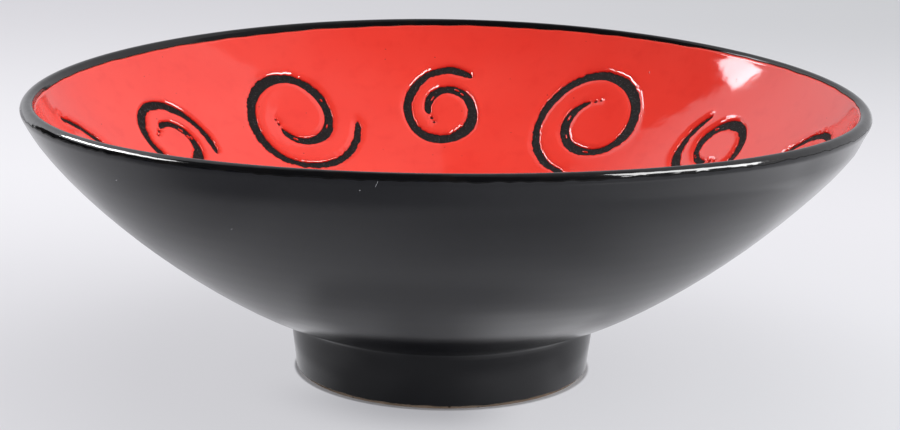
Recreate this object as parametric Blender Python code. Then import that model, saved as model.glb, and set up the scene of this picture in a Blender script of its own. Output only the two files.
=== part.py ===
"""Footed stoneware serving bowl with a flared wall, glazed in satin black, gloss black and red.

The bowl stands on the XY plane with its foot centred on the origin, +Z up, in metres. One line, the
skin, runs from the edge of the foot up the outside, over the lip and down the inside to the middle
of the floor. The clay and every glaze coat lie along a stretch of that line, each at its own depth
under it, and are turned about +Z.
"""
import math

import bmesh
import bpy
import numpy as np

# Glaze coats, and the clearance between any two pieces
SATIN_COAT = 0.0005
LIP_COAT = 0.0005
GROUND_COAT = 0.0004
RED_COAT = 0.0008
WELL_COAT = 0.0004
CLEARANCE = 0.0003

# Clay left between the coats
CLAY_AT_LIP = 0.0020
CLAY_AT_FOOT = 0.0052
CLAY_IN_FLOOR = 0.0074
CLAY_IN_FOOT_RING = 0.0053

# Outline of the glazed bowl
RIM_RADIUS = 0.140
RIM_HEIGHT = 0.0959
FOOT_BASE_RADIUS = 0.0492
FOOT_FLARE = 0.0023
FOOT_HEIGHT = 0.0192
FOOT_FILLET = 0.003
BASE_CHAMFER = 0.0007
WELL_FILLET = 0.0024

# Slopes of the wall above the horizontal, and how firmly each end holds its slope, as a share of
# the straight distance between the ends
SLOPE_AT_FOOT = math.radians(16.3)
SLOPE_AT_RIM = math.radians(60.7)
PULL_AT_FOOT = 0.174
PULL_AT_RIM = 0.332

# The rim dried a little out of true: left and right lie this far below its mean height, front and
# back this far above, fading towards the foot
RIM_WARP = 0.0018
WARP_POWER = 1.5

# Where the coats stop: the satin coat runs round onto the lip, and the lip band down the inside
SATIN_ROUND_LIP = 0.0012
LIP_BAND_INSIDE = 0.0016
BARE_CLAY_OUTSIDE = 0.0013
BARE_CLAY_IN_WELL = 0.0022

# Brushed coils left open in the red glaze, large and small by turns round the wall
COIL_WIDTH = 0.047
COIL_HEIGHT = 0.052
COIL_SPACING = 0.016
COIL_BELOW_LIP = 0.010
SMALL_COIL_SHARE = 0.72
COIL_EYE_SHARE = 0.36
COIL_TURNS = 1.4
COIL_TURN_BETWEEN = math.radians(137.5)
BRUSH_WIDTH = 0.0038
BRUSH_TIP_SHARE = 0.40
CUTTER_REACH = 0.002

# Fineness of the turned faces
SEGMENTS = 52
WALL_STEPS = 7
FLOOR_STEPS = 2
LIP_STEPS = 5
FILLET_STEPS = 2
STROKE_STEPS_PER_TURN = 13
SKIN_SAMPLES = 241
SMOOTH_ANGLE = math.radians(35)
SAME_PLACE = 1e-6

# Depths of the clay under the coats that cover it
UNDER_SATIN = SATIN_COAT + CLEARANCE
UNDER_LIP_BAND = LIP_COAT + CLEARANCE
UNDER_WELL_COAT = WELL_COAT + CLEARANCE
GROUND_DEPTH = RED_COAT + CLEARANCE
UNDER_LINING = GROUND_DEPTH + GROUND_COAT + CLEARANCE


def direction(slope):
    """Unit vector in the (radius, height) plane that climbs outwards at a slope."""
    return np.array([math.cos(slope), math.sin(slope)])


def left_of(vectors):
    """Each vector turned a quarter turn to its left, in the (radius, height) plane."""
    return np.stack([-vectors[..., 1], vectors[..., 0]], axis=-1)


def arc(centre, radius, start_angle, end_angle, count):
    """Points along a circular arc, from one angle to another about its centre."""
    angles = np.linspace(start_angle, end_angle, count)[:, None]
    return centre + radius * np.hstack([np.cos(angles), np.sin(angles)])


def fair_curve(start, end):
    """The wall's cubic Bezier, which leaves its start at the foot's slope and arrives at the rim's."""
    span = np.linalg.norm(end - start)
    near_start = start + PULL_AT_FOOT * span * direction(SLOPE_AT_FOOT)
    near_end = end - PULL_AT_RIM * span * direction(SLOPE_AT_RIM)
    t = np.linspace(0.0, 1.0, SKIN_SAMPLES)[:, None]
    u = 1.0 - t
    return u**3 * start + 3 * u * u * t * near_start + 3 * u * t * t * near_end + t**3 * end


def dished_floor(edge):
    """A shallow dish from its edge to the middle: the height falls with the radius squared."""
    share = np.linspace(1.0, 0.0, SKIN_SAMPLES)
    drop = edge[0] / 2 * math.tan(SLOPE_AT_FOOT)
    return np.stack([edge[0] * share, edge[1] - drop * (1.0 - share**2)], axis=-1)


class Skin:
    """The glazed bowl's outline, read by its distance from the edge of the foot.

    Its stations are the distances at which one form of the outline gives way to the next.
    """

    def __init__(self):
        foot_base = np.array([FOOT_BASE_RADIUS, 0.0])
        foot_top = np.array([FOOT_BASE_RADIUS + FOOT_FLARE, FOOT_HEIGHT])
        self.side = (foot_top - foot_base) / np.linalg.norm(foot_top - foot_base)
        side_angle = math.atan2(self.side[1], self.side[0])
        tangent = FOOT_FILLET * math.tan((side_angle - SLOPE_AT_FOOT) / 2)
        side_end = foot_top - tangent * self.side
        fillet_centre = side_end - FOOT_FILLET * left_of(self.side)
        wall_start = foot_top + tangent * direction(SLOPE_AT_FOOT)

        lip_radius = (UNDER_SATIN + CLAY_AT_LIP + UNDER_LINING) / 2
        lip_centre = np.array([RIM_RADIUS - lip_radius, RIM_HEIGHT - lip_radius])
        across_lip = lip_radius * left_of(direction(SLOPE_AT_RIM))
        foot_wall = UNDER_SATIN + CLAY_AT_FOOT + UNDER_LINING
        floor_edge = wall_start + foot_wall * left_of(direction(SLOPE_AT_FOOT))
        quarter = math.pi / 2

        runs = [
            foot_base + np.linspace(0.0, 1.0, SKIN_SAMPLES)[:, None] * (side_end - foot_base),
            arc(fillet_centre, FOOT_FILLET, side_angle + quarter, SLOPE_AT_FOOT + quarter, SKIN_SAMPLES),
            fair_curve(wall_start, lip_centre - across_lip),
            arc(lip_centre, lip_radius, SLOPE_AT_RIM - quarter, SLOPE_AT_RIM + quarter, SKIN_SAMPLES),
            fair_curve(floor_edge, lip_centre + across_lip)[::-1],
            dished_floor(floor_edge),
        ]
        self.points = np.vstack([runs[0]] + [run[1:] for run in runs[1:]])
        lengths = np.linalg.norm(np.diff(self.points, axis=0), axis=1)
        self.distance = np.concatenate([[0.0], np.cumsum(lengths)])
        self.normals = -left_of(np.gradient(self.points, self.distance, axis=0))
        names = ("fillet", "wall_outside", "lip", "wall_inside", "floor", "middle")
        self.station = dict(zip(names, self.distance[SKIN_SAMPLES - 1::SKIN_SAMPLES - 1]))
        self.lip_band_start = self.station["lip"] + SATIN_ROUND_LIP
        self.lip_band_end = self.station["wall_inside"] + LIP_BAND_INSIDE
        self.seat_height = self.points[-1, 1] - UNDER_LINING - CLAY_IN_FLOOR

    def at(self, distance, depth=0.0):
        """(radius, height) at a distance along the skin and a depth under it."""
        distance = np.asarray(distance, dtype=float)
        point = np.stack([np.interp(distance, self.distance, axis) for axis in self.points.T], axis=-1)
        normal = np.stack([np.interp(distance, self.distance, axis) for axis in self.normals.T], axis=-1)
        normal /= np.linalg.norm(normal, axis=-1, keepdims=True)
        place = point - depth * normal
        place[..., 0] = np.where(distance >= self.distance[-1], 0.0, place[..., 0])
        return place

    def side_distance(self, height):
        """Distance along the skin at which the foot's side reaches a height."""
        return height / self.side[1]


def stretch(*runs):
    """Distances along the skin through runs of (start, end, steps), each starting where one ended."""
    spans = [np.linspace(start, end, steps + 1) for start, end, steps in runs]
    return np.concatenate([spans[0]] + [span[1:] for span in spans[1:]])


def outside_distances(skin, start):
    """Distances from a start on the foot's side up the outside to the lip band."""
    place = skin.station
    return stretch((start, place["fillet"], 1), (place["fillet"], place["wall_outside"], FILLET_STEPS),
                   (place["wall_outside"], place["lip"], WALL_STEPS),
                   (place["lip"], skin.lip_band_start, 1))


def lip_distances(skin, start):
    """Distances from a start on the lip over its crest to the end of the lip band."""
    place = skin.station
    return stretch((start, place["wall_inside"], LIP_STEPS), (place["wall_inside"], skin.lip_band_end, 1))


def lining_distances(skin, start):
    """Distances from a start under the lip band down the inside to the middle of the floor."""
    place = skin.station
    return stretch((start, place["floor"], WALL_STEPS), (place["floor"], place["middle"], FLOOR_STEPS))


def coat_outline(skin, distances, depth, thickness):
    """Closed outline of a coat that lies at a depth along a stretch of the skin."""
    return np.vstack([skin.at(distances, depth), skin.at(distances[::-1], depth + thickness)])


def warp_rim(points):
    """Lower the left and right of a bowl's points and raise its front and back, more near the rim."""
    radius = np.hypot(points[:, 0], points[:, 1])
    foot = FOOT_BASE_RADIUS + FOOT_FLARE
    reach = np.clip((radius - foot) / (RIM_RADIUS - foot), 0.0, 1.0)
    twice_angle = 2.0 * np.arctan2(points[:, 1], points[:, 0])
    points[:, 2] -= RIM_WARP * np.cos(twice_angle) * reach**WARP_POWER
    return points


def finish(name, colour, roughness, coat_weight=0.0):
    """Principled material of one clay or glaze."""
    material = bpy.data.materials.new(name)
    material.use_nodes = True
    shader = material.node_tree.nodes["Principled BSDF"]
    shader.inputs["Base Color"].default_value = (*colour, 1.0)
    shader.inputs["Roughness"].default_value = roughness
    shader.inputs["Metallic"].default_value = 0.0
    shader.inputs["Coat Weight"].default_value = coat_weight
    return material


def add_object(name, bm):
    """Put a bmesh into the scene as a named object."""
    mesh = bpy.data.meshes.new(name)
    bm.to_mesh(mesh)
    bm.free()
    piece = bpy.data.objects.new(name, mesh)
    bpy.context.scene.collection.objects.link(piece)
    return piece


def turned(name, outline, material):
    """Turn a closed (radius, height) outline about +Z into one solid, and warp it with the rim."""
    outline = np.asarray(outline)
    moved = np.linalg.norm(outline - np.roll(outline, 1, axis=0), axis=1) > SAME_PLACE
    bm = bmesh.new()
    verts = [bm.verts.new((radius, 0.0, height)) for radius, height in outline[moved]]
    for before, after in zip(verts, verts[1:] + verts[:1]):
        if before.co.x > 0.0 or after.co.x > 0.0:
            bm.edges.new((before, after))
    bmesh.ops.spin(bm, geom=bm.verts[:] + bm.edges[:], cent=(0.0, 0.0, 0.0), axis=(0.0, 0.0, 1.0),
                   angle=2.0 * math.pi, steps=SEGMENTS, use_merge=True)
    bmesh.ops.remove_doubles(bm, verts=bm.verts, dist=SAME_PLACE)
    bmesh.ops.recalc_face_normals(bm, faces=bm.faces)
    for vert, place in zip(bm.verts, warp_rim(np.array([vert.co for vert in bm.verts]))):
        vert.co = place
    piece = add_object(name, bm)
    piece.data.materials.append(material)
    piece.data.shade_smooth()
    piece.data.set_sharp_from_angle(angle=SMOOTH_ANGLE)
    return piece


def make_stoneware_body(skin):
    """Thrown clay wall and floor, set in from the skin by the coats that cover it."""
    outer_face = skin.at(outside_distances(skin, skin.side_distance(skin.seat_height)), UNDER_SATIN)
    outer_face[0, 1] = skin.seat_height
    rounded_lip = skin.at(lip_distances(skin, skin.lip_band_start), UNDER_LIP_BAND)
    inner_face = skin.at(lining_distances(skin, skin.lip_band_end), UNDER_LINING)
    outline = np.vstack([outer_face, rounded_lip, inner_face, [[0.0, skin.seat_height]]])
    turned("stoneware_body", outline, finish("buff_stoneware", (0.46, 0.33, 0.22), 0.85))


def well_radius():
    """Radius of the glazed hollow inside the foot ring."""
    return FOOT_BASE_RADIUS - UNDER_SATIN - CLAY_IN_FOOT_RING - UNDER_WELL_COAT


def make_foot_ring(skin):
    """Clay ring luted under the floor; its bare flat base carries the bowl."""
    top = skin.seat_height - CLEARANCE
    inner = well_radius() + UNDER_WELL_COAT
    heights = np.array([0.0, BASE_CHAMFER, top])
    base, shoulder, crown = skin.at(skin.side_distance(heights), UNDER_SATIN)[:, 0]
    outline = [
        (base - BASE_CHAMFER, 0.0),
        (shoulder, BASE_CHAMFER),
        (crown, top),
        (inner, top),
        (inner, BASE_CHAMFER),
        (inner + BASE_CHAMFER, 0.0),
    ]
    turned("foot_ring", outline, finish("bare_buff_clay", (0.50, 0.36, 0.25), 0.9))


def make_satin_coat(skin):
    """Satin black glaze from just above the table up the outside onto the lip."""
    distances = outside_distances(skin, skin.side_distance(BARE_CLAY_OUTSIDE))
    outline = coat_outline(skin, distances, 0.0, SATIN_COAT)
    turned("satin_outer_glaze", outline, finish("satin_black_glaze", (0.020, 0.021, 0.024), 0.42))


def make_lip_coat(skin):
    """Gloss black band over the lip, ending a little way down the inside."""
    outline = coat_outline(skin, lip_distances(skin, skin.lip_band_start + CLEARANCE), 0.0, LIP_COAT)
    turned("gloss_lip_glaze", outline, finish("gloss_black_glaze", (0.012, 0.012, 0.014), 0.12, 0.6))


def make_ground_coat(skin):
    """Matt black ground under the red, seen at the bottom of each brushed coil."""
    distances = lining_distances(skin, skin.lip_band_end + CLEARANCE)
    outline = coat_outline(skin, distances, GROUND_DEPTH, GROUND_COAT)
    turned("black_ground_glaze", outline, finish("matt_black_ground", (0.015, 0.015, 0.017), 0.6))


def make_well_coat(skin):
    """Thin black glaze on the ceiling and side of the hollow under the bowl."""
    side = well_radius()
    ceiling = skin.seat_height - UNDER_WELL_COAT
    fillet = min(WELL_FILLET, ceiling - BARE_CLAY_IN_WELL)
    centre = np.array([side - fillet, ceiling - fillet])
    lower = arc(centre, fillet, 0.0, math.pi / 2, FILLET_STEPS + 1)
    upper = arc(centre, fillet + WELL_COAT, math.pi / 2, 0.0, FILLET_STEPS + 1)
    outline = np.vstack([[[side, BARE_CLAY_IN_WELL]], lower, [[0.0, ceiling]],
                         [[0.0, ceiling + WELL_COAT]], upper, [[side + WELL_COAT, BARE_CLAY_IN_WELL]]])
    turned("foot_well_glaze", outline, finish("well_black_glaze", (0.020, 0.020, 0.023), 0.35))


def coil_stroke(size, hand, turned_by):
    """Centre line across (x) and up (y) the wall, and half widths, of one brushed coil.

    An elliptical spiral winds in from the full size to the eye, and the brush is fullest halfway.
    """
    along = np.linspace(0.0, 1.0, round(STROKE_STEPS_PER_TURN * COIL_TURNS) + 1)
    angle = 2.0 * math.pi * COIL_TURNS * along + turned_by
    reach = size * (1.0 - (1.0 - COIL_EYE_SHARE) * along) / 2
    across = hand * COIL_WIDTH * reach * np.cos(angle)
    up = COIL_HEIGHT * reach * np.sin(angle)
    fullness = BRUSH_TIP_SHARE + (1.0 - BRUSH_TIP_SHARE) * np.sqrt(np.sin(math.pi * along))
    return np.stack([across, up], axis=-1), BRUSH_WIDTH * fullness / 2


def add_stroke_bar(bm, skin, stroke, wall_angle, middle):
    """Sweep one stroke through the red coat as a bar whose sides stand square to the wall."""
    centre, half_width = stroke
    heading = np.gradient(centre, axis=0)
    heading /= np.linalg.norm(heading, axis=1, keepdims=True)
    beside = left_of(heading) * half_width[:, None]
    above, below = -CUTTER_REACH, RED_COAT + CUTTER_REACH
    rings = []
    for edge, depth in ((beside, above), (-beside, above), (-beside, below), (beside, below)):
        across, up = (centre + edge).T
        radius, height = skin.at(middle - up, depth).T
        angle = wall_angle + across / skin.at(middle - up)[:, 0]
        corners = np.stack([radius * np.cos(angle), radius * np.sin(angle), height], axis=-1)
        rings.append([bm.verts.new(corner) for corner in warp_rim(corners)])
    faces = [bm.faces.new([ring[end] for ring in rings]) for end in (0, -1)]
    for before, after in zip(rings, rings[1:] + rings[:1]):
        faces += [bm.faces.new(corners) for corners in zip(before, before[1:], after[1:], after)]
    bmesh.ops.recalc_face_normals(bm, faces=faces)


def make_coil_cutter(skin):
    """Every coil's stroke, large and small by turns, evenly spaced round the inside wall."""
    middle = skin.lip_band_end + COIL_BELOW_LIP + COIL_HEIGHT / 2
    row_length = 2.0 * math.pi * skin.at(middle)[0]
    pair_length = COIL_WIDTH * (1.0 + SMALL_COIL_SHARE) + 2.0 * COIL_SPACING
    count = 2 * max(1, round(row_length / pair_length))
    bm = bmesh.new()
    for number in range(count):
        size, hand = ((1.0, 1.0), (SMALL_COIL_SHARE, -1.0))[number % 2]
        stroke = coil_stroke(size, hand, number * COIL_TURN_BETWEEN)
        add_stroke_bar(bm, skin, stroke, 2.0 * math.pi * number / count, middle)
    cutter = add_object("coil_cutter", bm)
    cutter.hide_render = True
    cutter.display_type = "WIRE"
    return cutter


def make_red_coat(skin):
    """Thick red glaze lining; the wax-brushed coils stay open through its whole thickness."""
    outline = coat_outline(skin, lining_distances(skin, skin.lip_band_end + CLEARANCE), 0.0, RED_COAT)
    lining = turned("red_liner_glaze", outline, finish("gloss_red_glaze", (0.78, 0.045, 0.028), 0.12, 0.8))
    opening = lining.modifiers.new("open_coils", "BOOLEAN")
    opening.operation = "DIFFERENCE"
    opening.solver = "EXACT"
    opening.object = make_coil_cutter(skin)


for leftover in list(bpy.data.objects):
    bpy.data.objects.remove(leftover, do_unlink=True)

bowl_skin = Skin()
for make_piece in (make_stoneware_body, make_foot_ring, make_satin_coat, make_lip_coat,
                   make_ground_coat, make_red_coat, make_well_coat):
    make_piece(bowl_skin)
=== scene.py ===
"""Looks of a footed stoneware serving bowl: satin black outside, gloss black lip, red glaze inside.

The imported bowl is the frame, in metres: foot centred on the origin, +Z up, -Y towards the viewer.
"""
import math

import bmesh
import bpy
import numpy as np
from mathutils import Matrix, Vector
from mathutils.geometry import delaunay_2d_cdt


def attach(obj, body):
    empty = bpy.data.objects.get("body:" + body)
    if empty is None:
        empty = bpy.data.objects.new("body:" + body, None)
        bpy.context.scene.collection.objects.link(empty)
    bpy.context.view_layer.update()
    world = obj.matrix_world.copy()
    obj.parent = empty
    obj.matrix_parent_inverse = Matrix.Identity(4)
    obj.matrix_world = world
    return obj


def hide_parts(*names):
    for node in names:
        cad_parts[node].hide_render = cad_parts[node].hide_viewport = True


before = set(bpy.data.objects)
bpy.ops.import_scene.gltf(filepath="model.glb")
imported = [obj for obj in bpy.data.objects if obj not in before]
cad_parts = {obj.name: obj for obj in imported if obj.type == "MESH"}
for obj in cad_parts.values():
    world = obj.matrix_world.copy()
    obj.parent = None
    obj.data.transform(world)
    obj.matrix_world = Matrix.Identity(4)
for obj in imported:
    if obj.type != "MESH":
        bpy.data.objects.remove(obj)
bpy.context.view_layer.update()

# Clay wall and floor.
# Thrown buff stoneware, set in under all its glazes. It dried a little out of true, and every coat
# follows it. It has the finish of fired clay: soft patches, iron specks and a dry tooth.
CLAY_PALE = (0.60, 0.46, 0.35)
CLAY_DARK = (0.47, 0.34, 0.24)
IRON_SPECK = (0.10, 0.06, 0.04)
CLAY_TOOTH = 0.00006


class Wire:
    """One socket of a material's nodes. Arithmetic on it adds Math nodes beside it."""

    def __init__(self, tree, socket=None):
        self.tree = tree
        self.socket = socket

    def node(self, kind, settings, sockets, output=0):
        """Add one node: its settings first, then the values or links of its sockets."""
        made = self.tree.nodes.new(kind)
        for name, value in settings.items():
            setattr(made, name, value)
        for name, value in sockets.items():
            if isinstance(value, Wire):
                self.tree.links.new(value.socket, made.inputs[name])
            else:
                made.inputs[name].default_value = value
        return Wire(self.tree, made.outputs[output] if made.outputs else None)

    def math(self, operation, *values):
        """One Math node on these values, or on this wire where none are given."""
        return self.node("ShaderNodeMath", {"operation": operation}, dict(enumerate(values or (self,))))

    def __add__(self, other):
        return self.math("ADD", self, other)

    __radd__ = __add__

    def __sub__(self, other):
        return self.math("SUBTRACT", self, other)

    def __rsub__(self, other):
        return self.math("SUBTRACT", other, self)

    def __mul__(self, other):
        return self.math("MULTIPLY", self, other)

    __rmul__ = __mul__

    def rise(self, low, high):
        """0 up to low, 1 from high on, and a smooth step between. A low above high turns it round."""
        if low > high:
            return 1.0 - self.rise(high, low)
        return self.node("ShaderNodeMapRange", {"interpolation_type": "SMOOTHSTEP"},
                         {"Value": self, "From Min": low, "From Max": high})

    def along(self, axis):
        """The x, y or z of a place, numbered 0, 1 or 2."""
        return self.node("ShaderNodeSeparateXYZ", {}, {0: self}, axis)

    def grain(self, per_metre, detail=2.0):
        """Soft noise round 0.5, with so many grains to the metre."""
        return self.node("ShaderNodeTexNoise", {}, {"Vector": self, "Scale": per_metre, "Detail": detail})

    def specks(self, per_metre, size, share):
        """1 in round specks, scattered so many to the metre; only a share of the places holds one."""
        cells = {"Vector": self, "Scale": per_metre}
        gap = self.node("ShaderNodeTexVoronoi", {}, cells, "Distance")
        chance = self.node("ShaderNodeTexVoronoi", {}, cells, "Color").along(0)
        return gap.rise(size, 0.4 * size) * chance.rise(share, share - 0.01)

    def bump(self, distance):
        """Normal of a surface raised by this height times a distance in metres."""
        return self.node("ShaderNodeBump", {}, {"Strength": 1.0, "Distance": distance, "Height": self})


def mixed(share, first, second):
    """Mix of two colours, each a wire or three numbers, by a share that is a wire."""
    first, second = [c if isinstance(c, Wire) else (*c, 1.0) for c in (first, second)]
    return share.node("ShaderNodeMix", {"data_type": "RGBA"}, {0: share, 6: first, 7: second}, 2)


def new_recipe(name):
    """Empty material, and the wire of Object coordinates that its nodes start from."""
    material = bpy.data.materials.new(name)
    material.use_nodes = True
    material.node_tree.nodes.clear()
    return material, Wire(material.node_tree).node("ShaderNodeTexCoord", {}, {}, "Object")


def fired(material, sockets):
    """Finish a material with one Principled shader of these socket values."""
    wire = Wire(material.node_tree)
    shader = wire.node("ShaderNodeBsdfPrincipled", {}, sockets)
    wire.node("ShaderNodeOutputMaterial", {}, {"Surface": shader})
    return material


def clay_finish(name, dryness):
    """Fired clay: two buffs in soft patches, iron specks, and a fine dry tooth."""
    material, place = new_recipe(name)
    patches = mixed(place.grain(70.0).rise(0.35, 0.7), CLAY_PALE, CLAY_DARK)
    tooth = place.grain(2600.0, 4.0) + 0.7 * place.grain(600.0)
    return fired(material, {
        "Base Color": mixed(place.specks(420.0, 0.3, 0.3), patches, IRON_SPECK),
        "Roughness": dryness - 0.12 * place.grain(300.0),
        "Normal": tooth.bump(CLAY_TOOTH),
    })


RIM_RADIUS = 0.140
RIM_HEIGHT = 0.0959
LIP_RADIUS = 0.0023
FOOT_BASE_RADIUS = 0.0492
FOOT_FLARE = 0.0023
FOOT_HEIGHT = 0.0192
FOOT_FILLET = 0.003
FOOT_WALL = 0.0078
SLOPE_AT_FOOT = math.radians(16.3)
SLOPE_AT_RIM = math.radians(60.7)
PULL_AT_FOOT = 0.174
PULL_AT_RIM = 0.332
RIM_WARP = 0.0018
WARP_POWER = 1.5
LINE_SAMPLES = 401
UNDER_OUTER_GLAZE = 0.0008
MERGE = 2e-6
SIDE_SINK = 0.0002
FRONT_TWIST = 0.0003
LIP_PULL = 0.0010
LEAN_FROM = 0.080
LEAN_POWER = 2.2
LEAN_SIDE_POWER = 4
WALL_SWELL = 0.00105
SWELL_HEIGHT = 0.083
SWELL_SPREAD = 0.0125
SWELL_TOP = 0.0910
SWELL_FADE = 0.0060
UNDER_LINING = 0.0018
SEAT_HEIGHT = 0.010555
SEAT_STEP = 0.0002
BAND_UNDER_LIP = 0.0016
CLAY_COLUMNS = 240


def toward(slope):
    """Unit vector in the (radius, height) plane that climbs outwards at a slope."""
    return np.array([math.cos(slope), math.sin(slope)])


def left_of(vectors):
    """Vectors of that plane turned a quarter turn to the left."""
    return np.stack([-vectors[..., 1], vectors[..., 0]], axis=-1)


def arc(centre, radius, start, end):
    """Points on a circle about a centre, from one angle to another."""
    angle = np.linspace(start, end, LINE_SAMPLES)[:, None]
    return centre + radius * np.hstack([np.cos(angle), np.sin(angle)])


def wall_line(start, end):
    """Cubic Bezier of the flared wall, leaving at the foot's slope and arriving at the rim's."""
    span = np.linalg.norm(end - start)
    near_start = start + PULL_AT_FOOT * span * toward(SLOPE_AT_FOOT)
    near_end = end - PULL_AT_RIM * span * toward(SLOPE_AT_RIM)
    t = np.linspace(0.0, 1.0, LINE_SAMPLES)[:, None]
    u = 1.0 - t
    return u**3 * start + 3 * u * u * t * near_start + 3 * u * t * t * near_end + t**3 * end


def floor_line(edge):
    """Shallow dish from its edge to the middle: the height falls with the radius squared."""
    share = np.linspace(1.0, 0.0, LINE_SAMPLES)
    drop = edge[0] / 2 * math.tan(SLOPE_AT_FOOT)
    return np.stack([edge[0] * share, edge[1] - drop * (1.0 - share**2)], axis=-1)


# The bowl's line: up the foot's side, round its fillet, up the outside, over the lip, down the
# inside and over the floor to the middle. Places on it are read by the distance from the foot's edge.
foot_base = np.array([FOOT_BASE_RADIUS, 0.0])
foot_top = foot_base + np.array([FOOT_FLARE, FOOT_HEIGHT])
foot_side = (foot_top - foot_base) / np.linalg.norm(foot_top - foot_base)
side_angle = math.atan2(foot_side[1], foot_side[0])
fillet_reach = FOOT_FILLET * math.tan((side_angle - SLOPE_AT_FOOT) / 2)
side_end = foot_top - fillet_reach * foot_side
wall_start = foot_top + fillet_reach * toward(SLOPE_AT_FOOT)
floor_edge = wall_start + FOOT_WALL * left_of(toward(SLOPE_AT_FOOT))
lip_centre = np.array([RIM_RADIUS - LIP_RADIUS, RIM_HEIGHT - LIP_RADIUS])
across_lip = LIP_RADIUS * left_of(toward(SLOPE_AT_RIM))
quarter = math.pi / 2
runs = [
    foot_base + np.linspace(0.0, 1.0, LINE_SAMPLES)[:, None] * (side_end - foot_base),
    arc(side_end - FOOT_FILLET * left_of(foot_side), FOOT_FILLET,
        side_angle + quarter, SLOPE_AT_FOOT + quarter),
    wall_line(wall_start, lip_centre - across_lip),
    arc(lip_centre, LIP_RADIUS, SLOPE_AT_RIM - quarter, SLOPE_AT_RIM + quarter),
    wall_line(floor_edge, lip_centre + across_lip)[::-1],
    floor_line(floor_edge),
]
line = np.vstack([runs[0]] + [run[1:] for run in runs[1:]])
travelled = np.concatenate([[0.0], np.cumsum(np.linalg.norm(np.diff(line, axis=0), axis=1))])
outward = -left_of(np.gradient(line, travelled, axis=0))
outward /= np.linalg.norm(outward, axis=1, keepdims=True)
_, WALL, LIP, INSIDE, _, MIDDLE = travelled[LINE_SAMPLES - 1::LINE_SAMPLES - 1]


def radius_at(distance):
    """Radius of the bowl's line at a distance along it."""
    return np.interp(distance, travelled, line[:, 0])


def on_bowl(turn, distance, depth=0.0):
    """Place at a turn about +Z, a distance along the bowl's line and a depth under it.

    The bowl dried out of true. Left and right sink by the cosine of twice the turn, and a little more by
    the cosine's square. The front sinks on its left and lifts on its right by the sine of twice the turn.
    All this grows towards the rim. The last 16 mm at the far left lean in by a power of the height, and
    the outside on the right swells in a bell round one height.
    """
    radius = radius_at(distance) - depth * np.interp(distance, travelled, outward[:, 0])
    radius = np.where(distance >= MIDDLE - MERGE, 0.0, radius)
    height = np.interp(distance, travelled, line[:, 1])
    height = height - depth * np.interp(distance, travelled, outward[:, 1])
    reach = np.clip((radius - foot_top[0]) / (RIM_RADIUS - foot_top[0]), 0.0, 1.0)
    leaning = np.clip((height - LEAN_FROM) / (RIM_HEIGHT - LEAN_FROM), 0.0, 1.0) ** LEAN_POWER
    leaning = leaning * ((1.0 - np.cos(turn)) / 2) ** LEAN_SIDE_POWER
    level = np.clip((SWELL_TOP - height) / SWELL_FADE, 0.0, 1.0)
    swelling = np.exp(-(((height - SWELL_HEIGHT) / SWELL_SPREAD) ** 2)) * level * level * (3.0 - 2.0 * level)
    swelling = swelling * (distance < LIP) * (1.0 + np.cos(turn)) / 2
    radius = radius - LIP_PULL * leaning + WALL_SWELL * swelling
    twisting = FRONT_TWIST * np.sin(2 * turn) * (1.0 - np.sin(turn)) / 2
    sinking = RIM_WARP * np.cos(2 * turn) + SIDE_SINK * np.cos(turn) ** 2 + twisting
    height = height - sinking * reach**WARP_POWER
    return np.stack(np.broadcast_arrays(radius * np.cos(turn), radius * np.sin(turn), height), axis=-1)


def turns_round(count):
    """Angles of so many even steps round the bowl, as a row."""
    return np.arange(count)[None, :] * 2.0 * math.pi / count


def ring_faces(rows, columns, closed):
    """Quads of a grid whose columns close round the bowl, and whose last row meets its first if closed."""
    row, column = np.meshgrid(np.arange(rows if closed else rows - 1), np.arange(columns), indexing="ij")
    under, beside = (row + 1) % rows, (column + 1) % columns
    this_row, next_row = row * columns, under * columns
    corners = (this_row + column, this_row + beside, next_row + beside, next_row + column)
    return np.stack(corners, axis=-1).reshape(-1, 4)


def waves(turn, seed, counts, height):
    """Gentle unevenness round the bowl: sines of whole wave counts, their phases by the seed."""
    phases = np.random.default_rng(seed).uniform(0.0, 2.0 * math.pi, len(counts))
    total = sum(np.sin(count * turn + phase) for count, phase in zip(counts, phases))
    return height * total / len(counts) ** 0.5


def add_piece(name, points, faces, material, sharp=math.radians(50), marks=None):
    """Smooth closed mesh piece from its points and faces, its doubles merged and faces outwards."""
    mesh = bpy.data.meshes.new(name)
    mesh.from_pydata(points.reshape(-1, 3).tolist(), [], faces if isinstance(faces, list) else faces.tolist())
    for mark, values in (marks or {}).items():
        layer = mesh.attributes.new(mark, "FLOAT", "POINT")
        layer.data.foreach_set("value", values.astype(np.float32).ravel())
    bm = bmesh.new()
    bm.from_mesh(mesh)
    bmesh.ops.remove_doubles(bm, verts=bm.verts, dist=MERGE)
    bmesh.ops.recalc_face_normals(bm, faces=bm.faces)
    bm.to_mesh(mesh)
    bm.free()
    mesh.materials.append(material)
    mesh.shade_smooth()
    mesh.set_sharp_from_angle(angle=sharp)
    piece = bpy.data.objects.new(name, mesh)
    bpy.context.scene.collection.objects.link(piece)
    return piece


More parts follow.
